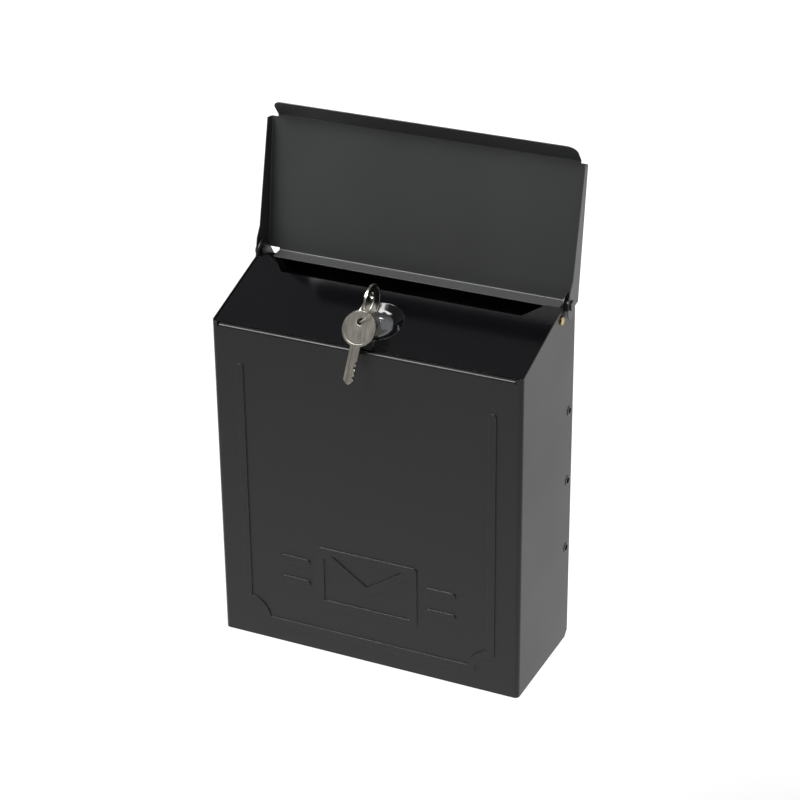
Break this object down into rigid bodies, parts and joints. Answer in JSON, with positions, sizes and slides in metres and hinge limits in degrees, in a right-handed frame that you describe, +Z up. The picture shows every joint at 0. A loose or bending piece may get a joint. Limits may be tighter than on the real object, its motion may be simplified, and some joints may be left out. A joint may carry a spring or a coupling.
{
  "type": "wall mounted mailbox",
  "caption": "Locking letter box of bent sheet steel for a wall, with a hinged rain lid, a sloping lockable door with a mail slot, a cam lock, and keys on a ring.",
  "frame": {"origin": "centre of the four wall-screw holes, on the back panel's outer face", "axes": "+Z up, +Y from the front face towards the wall, +X to the right seen from the front"},
  "size_m": [0.2594, 0.1307, 0.4059],
  "materials": {
    "black_paint": "semi-gloss black powder coat with a fine orange-peel texture",
    "black_rivet": "black oxide steel, satin",
    "lock_chrome": "polished chrome plate",
    "key_nickel": "bright nickel plate with fine milling marks",
    "zinc": "bright zinc plate",
    "brass": "satin brass, slightly dulled"
  },
  "bodies": {
    "box": {"body_shell": "black_paint", "back_panel": "black_paint", "bottom_panel": "black_paint", "side_eyelets": "black_rivet", "strike_plate": "black_paint", "door_rivets": "brass", "lid_rivets": "black_rivet", "lid_spacers": "black_rivet"},
    "door_body": {"door": "black_paint", "lock_body": "lock_chrome", "lock_washer": "zinc", "lock_nut": "zinc"},
    "lid_body": {"lid": "black_paint"},
    "lock_core": {"lock_plug": "lock_chrome", "lock_wafers": "brass", "stop_washer": "zinc", "lock_cam": "zinc", "cam_screw": "zinc"},
    "key_body": {"lock_key": "key_nickel"},
    "ring_body": {"key_ring": "key_nickel"},
    "spare_body": {"spare_key": "key_nickel"}
  },
  "joints": [
    {"name": "lid_hinge", "type": "hinge", "parent": "box", "child": "lid_body", "pos_m": [0, -0.0165, 0.146], "axis": [-1, 0, 0], "range_deg": [-94, 0]},
    {"name": "door_hinge", "type": "hinge", "parent": "box", "child": "door_body", "pos_m": [0, -0.02722, 0.13789], "axis": [-1, 0, 0], "range_deg": [0, 70]},
    {"name": "lock_turn", "type": "hinge", "parent": "door_body", "child": "lock_core", "pos_m": [-0.0035, -0.06975, 0.13072], "axis": [0, -0.3173, 0.9483], "range_deg": [-90, 0]},
    {"name": "key_pull", "type": "slide", "parent": "lock_core", "child": "key_body", "axis": [0, -0.3173, 0.9483], "range_m": [0, 0.02]},
    {"name": "ring_swing", "type": "hinge", "parent": "key_body", "child": "ring_body", "pos_m": [-0.0035, -0.07778, 0.15471], "axis": [1, 0, 0], "range_deg": [-28, 1]},
    {"name": "spare_key_swing", "type": "hinge", "parent": "ring_body", "child": "spare_body", "pos_m": [-0.0038, -0.09484, 0.14141], "axis": [-1, 0, 0], "range_deg": [-8, 6]}
  ],
  "couplings": [
    {"joint": "ring_swing", "follows": "lock_turn", "ratio": 0.3}
  ]
}
